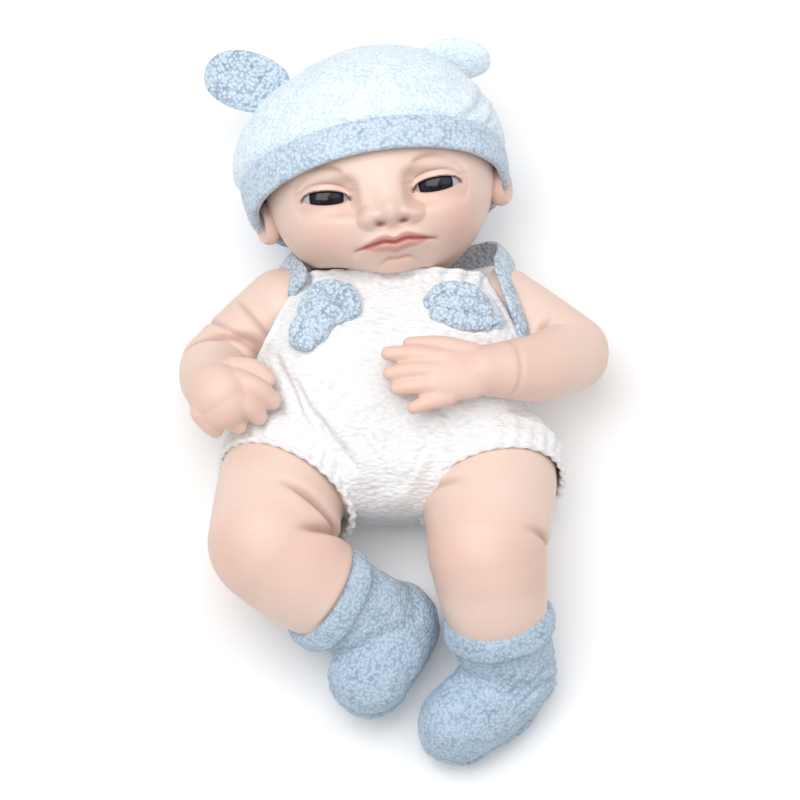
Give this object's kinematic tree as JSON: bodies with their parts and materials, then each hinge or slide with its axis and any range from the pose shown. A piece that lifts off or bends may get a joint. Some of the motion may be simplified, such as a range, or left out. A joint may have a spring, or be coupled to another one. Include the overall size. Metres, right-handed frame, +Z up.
{
  "type": "interactive baby doll",
  "caption": "Newborn style vinyl baby doll with turning head, swinging arms and legs, a press-to-sound belly, eared hat, romper and booties.",
  "frame": {"origin": "on the floor under the middle of the doll's box, as it lies on its back", "axes": "+X to the doll's left, +Y from its feet to the crown of its head, +Z up from the floor, the way its face looks"},
  "size_m": [0.1824, 0.3074, 0.1086],
  "materials": {
    "vinyl_skin": "soft matte rotocast vinyl, warm blush on the cheeks",
    "torso_plastic": "matte moulded plastic",
    "eye_acrylic": "polished dark blue-black iris with a clear front",
    "white_terry": "white puckered terry cloth",
    "blue_terry": "pale blue terry cloth",
    "blue_knit": "pale blue ribbed knit",
    "grey_plastic": "plain moulded plastic",
    "black_plastic": "plain moulded plastic",
    "board_green": "solder mask on glass fibre board",
    "steel": "zinc plated",
    "speaker_paper": "pressed paper cone"
  },
  "bodies": {
    "torso": {"torso_front_shell": "torso_plastic", "torso_back_shell": "torso_plastic", "torso_screw_1": "steel", "torso_screw_2": "steel", "torso_screw_3": "steel", "torso_screw_4": "steel", "circuit_board": "board_green", "board_screw_1": "steel", "board_screw_2": "steel", "button_switch": "black_plastic", "sound_chip": "black_plastic", "tummy_button_spring": "steel", "speaker_frame": "steel", "speaker_cone": "speaker_paper", "speaker_magnet": "steel", "battery_door": "torso_plastic", "battery_door_screw": "steel", "battery_tray": "black_plastic", "battery_cell_1": "steel", "battery_cell_2": "steel", "battery_cell_3": "steel", "power_switch_body": "black_plastic", "romper": "white_terry", "romper_strap_left": "blue_terry", "romper_strap_right": "blue_terry", "romper_knot_left": "blue_terry", "romper_knot_right": "blue_terry"},
    "tummy_button": {"tummy_button": "grey_plastic"},
    "power_switch_knob": {"power_switch_knob": "grey_plastic"},
    "head": {"head_shell": "vinyl_skin", "neck_plug": "torso_plastic", "left_eye": "eye_acrylic", "right_eye": "eye_acrylic", "left_eye_cup": "grey_plastic", "right_eye_cup": "grey_plastic", "hat": "blue_terry", "hat_brim": "blue_terry", "hat_ear_left": "blue_terry", "hat_ear_right": "blue_terry"},
    "left_arm": {"left_arm": "vinyl_skin"},
    "right_arm": {"right_arm": "vinyl_skin"},
    "left_leg": {"left_leg": "vinyl_skin", "romper_leg_left": "white_terry", "romper_leg_band_left": "white_terry", "left_bootie": "blue_knit", "left_bootie_cuff": "blue_knit"},
    "right_leg": {"right_leg": "vinyl_skin", "romper_leg_right": "white_terry", "romper_leg_band_right": "white_terry", "right_bootie": "blue_knit", "right_bootie_cuff": "blue_knit"}
  },
  "joints": [
    {"name": "head_turn", "type": "hinge", "parent": "torso", "child": "head", "pos_m": [-0.00007, 0.05212, 0.033], "axis": [0, 0.9707, 0.2402], "range_deg": [-45, 45]},
    {"name": "left_arm_swing", "type": "hinge", "parent": "torso", "child": "left_arm", "pos_m": [0.04693, 0.03632, 0.037], "axis": [0.96, -0.28, 0], "range_deg": [-48, 0]},
    {"name": "right_arm_swing", "type": "hinge", "parent": "torso", "child": "right_arm", "pos_m": [-0.04707, 0.03632, 0.037], "axis": [0.96, 0.28, 0], "range_deg": [-140, 3]},
    {"name": "left_leg_swing", "type": "hinge", "parent": "torso", "child": "left_leg", "pos_m": [0.04193, -0.02988, 0.035], "axis": [0.867, -0.4983, 0], "range_deg": [-40, 26]},
    {"name": "right_leg_swing", "type": "hinge", "parent": "torso", "child": "right_leg", "pos_m": [-0.04207, -0.02988, 0.035], "axis": [0.867, 0.4983, 0], "range_deg": [-18, 40]},
    {"name": "tummy_button_press", "type": "slide", "parent": "torso", "child": "tummy_button", "axis": [0, 0, -1], "range_m": [0, 0.0025], "stiffness_N_per_m": 400, "springref_m": -0.001, "deforming": ["tummy_button_spring"]},
    {"name": "power_switch_slide", "type": "slide", "parent": "torso", "child": "power_switch_knob", "axis": [0, 1, 0], "range_m": [-0.002, 0.002]}
  ]
}
